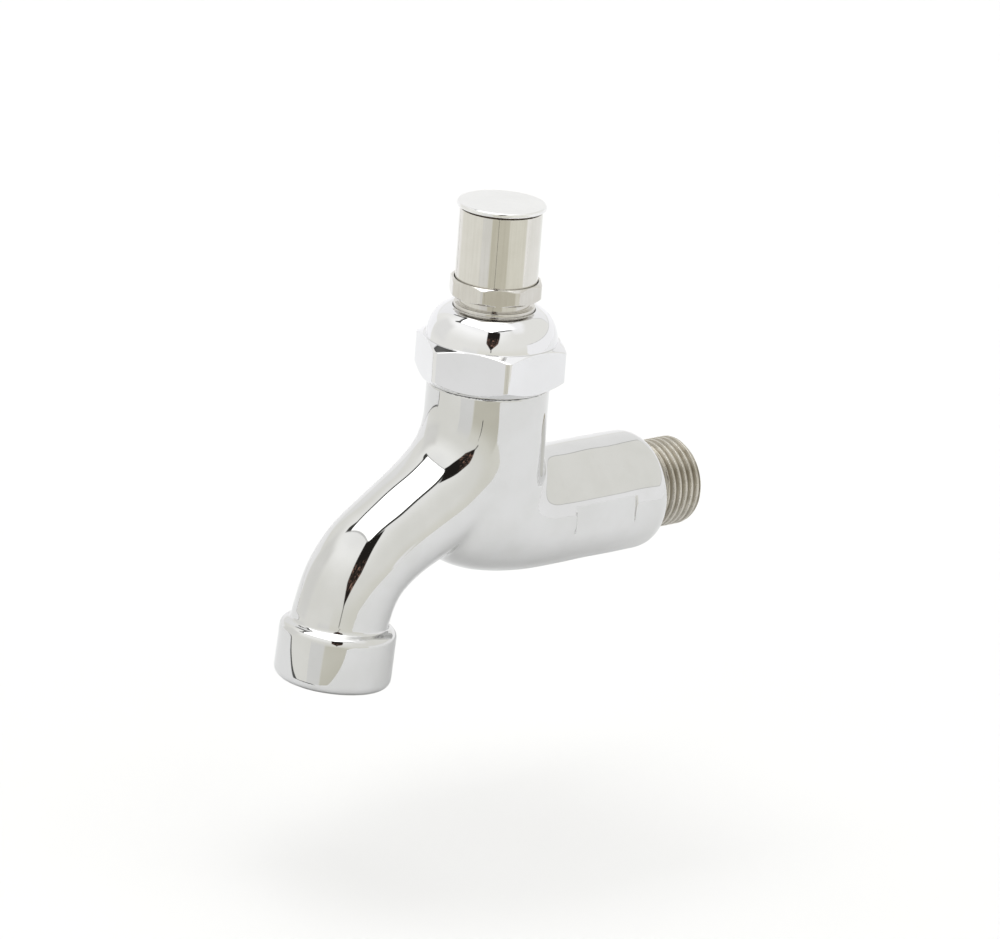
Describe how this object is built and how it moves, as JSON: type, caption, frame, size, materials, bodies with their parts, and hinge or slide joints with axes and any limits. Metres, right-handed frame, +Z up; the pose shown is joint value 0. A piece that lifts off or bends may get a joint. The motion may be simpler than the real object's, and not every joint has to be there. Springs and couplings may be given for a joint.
{
  "type": "push-button wall faucet",
  "caption": "Chromed self-closing wall faucet: curved spout with plain collar, hexagonal bonnet nut, push cap on top, threaded inlet shank at the back.",
  "frame": {"origin": "centre of the threaded inlet's end face, on the inlet's axis", "axes": "+Y along the inlet, out of the faucet and into the wall fitting; +Z up along the push cap; the spout reaches towards -Y"},
  "size_m": [0.033, 0.1158, 0.1106],
  "materials": {
    "chrome_casting": "polished",
    "satin_nickel": "bright nickel",
    "cap_disc_plate": "polished",
    "plain_brass": "machined",
    "stainless": "bright drawn",
    "black_rubber": "matte",
    "fibre_gasket": "matte fibre",
    "white_plastic": "matte"
  },
  "bodies": {
    "valve_body": {"faucet_body": "chrome_casting", "bonnet_nut": "chrome_casting", "bonnet_gasket": "fibre_gasket", "gland": "satin_nickel", "stem_seals": "black_rubber", "seal_spacer": "plain_brass", "guide_bush": "white_plastic", "spring_washer": "stainless", "cartridge_sleeve": "plain_brass", "sleeve_gasket": "fibre_gasket", "sleeve_seal": "black_rubber", "seat_ring": "stainless", "return_spring": "stainless"},
    "plunger": {"dashpot_piston": "plain_brass", "cup_seal": "black_rubber"},
    "push_cap": {"stem": "stainless", "piston_clip": "stainless", "washer_holder": "plain_brass", "seat_washer": "black_rubber", "washer_nut": "plain_brass", "metering_needle": "stainless", "needle_seal": "black_rubber", "cap_barrel": "satin_nickel", "cap_disc": "cap_disc_plate", "cap_nut": "plain_brass"}
  },
  "joints": [
    {"name": "cap_press", "type": "slide", "parent": "valve_body", "child": "plunger", "axis": [0, 0, -1], "range_m": [0, 0.0024], "stiffness_N_per_m": 2500, "springref_m": -0.004, "deforming": ["return_spring"]},
    {"name": "cap_spin", "type": "hinge", "parent": "plunger", "child": "push_cap", "pos_m": [0, -0.0615, 0.06], "axis": [0, 0, 1], "continuous": true}
  ]
}
